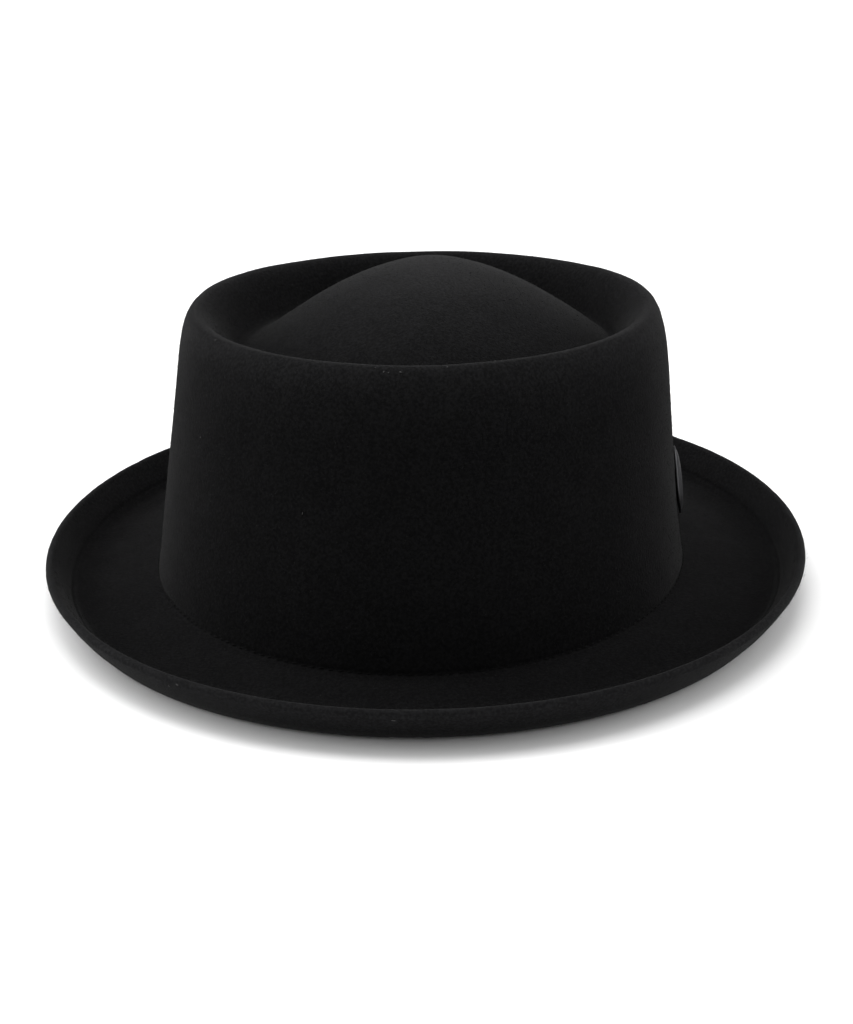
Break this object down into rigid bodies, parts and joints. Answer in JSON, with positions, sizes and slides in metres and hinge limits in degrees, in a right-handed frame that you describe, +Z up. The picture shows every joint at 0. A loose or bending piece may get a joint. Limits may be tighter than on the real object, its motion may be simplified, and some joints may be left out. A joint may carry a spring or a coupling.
{
  "type": "pork pie hat",
  "caption": "Black wool-felt pork pie hat: low crown with a raised rim and a domed top, a narrow brim turned up all round, a plain sweatband and a small side badge.",
  "frame": {"origin": "on the surface that the hat rests on, under the middle of the brim", "axes": "+Z up; the front of the hat faces -Y and its wearer's left is +X"},
  "size_m": [0.2466, 0.2864, 0.1007],
  "materials": {
    "felt": "matt black wool felt with a short nap",
    "band": "black grosgrain, low sheen",
    "badge_metal": "polished gunmetal"
  },
  "bodies": {
    "root": {"felt_body": "felt", "sweatband": "band", "side_badge": "badge_metal"}
  },
  "joints": []
}
